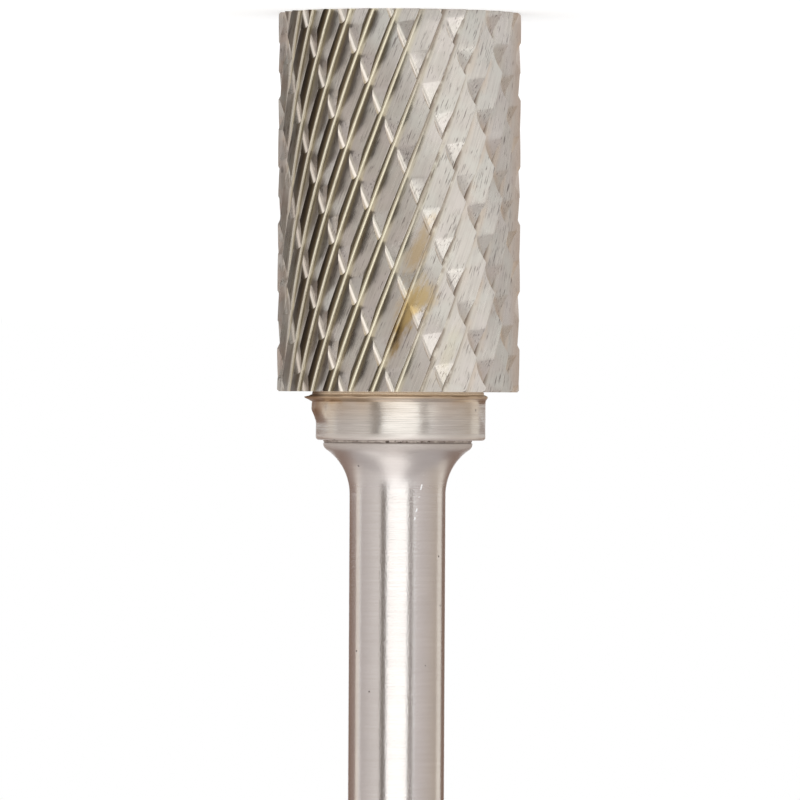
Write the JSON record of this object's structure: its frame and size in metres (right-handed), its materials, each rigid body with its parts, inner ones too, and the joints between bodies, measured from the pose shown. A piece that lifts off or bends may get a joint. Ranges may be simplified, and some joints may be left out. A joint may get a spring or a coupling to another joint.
{
  "type": "carbide burr",
  "caption": "Cylindrical double-cut carbide burr head brazed to a slim round steel shank, for grinding and deburring metal.",
  "frame": {"origin": "centre of the head's plain end face, which the burr stands on", "axes": "+Z along the burr's axis, from the head's end face towards the end of the shank"},
  "size_m": [0.016, 0.016, 0.07],
  "materials": {
    "carbide": "ground",
    "braze": "dull, pitted",
    "shank_steel": "polished"
  },
  "bodies": {
    "root": {"carbide_head": "carbide", "braze_joint": "braze", "steel_shank": "shank_steel"}
  },
  "joints": []
}
